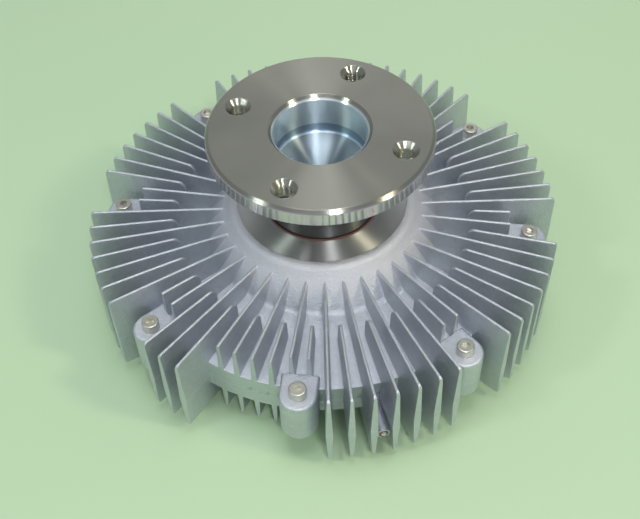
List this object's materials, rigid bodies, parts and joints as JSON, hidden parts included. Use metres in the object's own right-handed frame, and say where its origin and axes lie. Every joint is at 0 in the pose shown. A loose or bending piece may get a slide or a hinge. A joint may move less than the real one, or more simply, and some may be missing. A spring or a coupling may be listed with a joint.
{
  "type": "viscous fan clutch",
  "caption": "Round finned aluminium fan clutch that turns on a flanged drive shaft, with a pilot bore and tapped holes to join an engine's pump to its cooling fan.",
  "frame": {"origin": "on the spin axis, in the plane of the fan lugs' faces, which are the lowest faces", "axes": "+Z along the spin axis, from the fan side up to the drive flange"},
  "size_m": [0.2, 0.2, 0.09],
  "materials": {
    "plated_steel": "turned and zinc plated",
    "cast_aluminium": "as cast, bright, with a turned hub face",
    "turned_aluminium": "turned",
    "bearing_steel": "ground",
    "cage_brass": "pressed",
    "spring_steel": "oiled",
    "screw_steel": "zinc plated",
    "sheet_steel": "rolled",
    "seal_rubber": "matte",
    "ring_rubber": "matte",
    "bimetal": "rolled strip"
  },
  "bodies": {
    "casing": {"rear_housing": "cast_aluminium", "front_cover": "cast_aluminium", "cover_screws": "screw_steel", "body_o_ring": "ring_rubber", "shaft_seal": "seal_rubber", "bearing_outer_ring": "bearing_steel", "bearing_seal_upper": "ring_rubber", "bearing_seal_lower": "ring_rubber", "bearing_circlip": "spring_steel", "partition_plate": "sheet_steel", "plate_screws": "screw_steel", "coil_bracket": "sheet_steel", "bracket_screws": "screw_steel", "bimetal_coil": "bimetal", "filler_ball": "bearing_steel"},
    "input": {"drive_shaft": "plated_steel", "bearing_inner_ring": "bearing_steel", "rotor": "turned_aluminium", "rotor_circlip": "spring_steel"},
    "ball_set": {"bearing_balls": "bearing_steel", "bearing_cage": "cage_brass"},
    "valve": {"valve_shaft": "bearing_steel", "valve_arm": "sheet_steel", "valve_o_ring": "ring_rubber"}
  },
  "joints": [
    {"name": "shaft_spin", "type": "hinge", "parent": "casing", "child": "input", "pos_m": [0, 0, 0.039], "axis": [0, 0, 1], "continuous": true},
    {"name": "cage_spin", "type": "hinge", "parent": "casing", "child": "ball_set", "pos_m": [0, 0, 0.039], "axis": [0, 0, 1], "continuous": true},
    {"name": "valve_turn", "type": "hinge", "parent": "casing", "child": "valve", "pos_m": [0, 0, 0.012], "axis": [0, 0, 1], "range_deg": [0, 35], "deforming": ["bimetal_coil"]}
  ],
  "couplings": [
    {"joint": "cage_spin", "follows": "shaft_spin", "ratio": 0.3965}
  ]
}
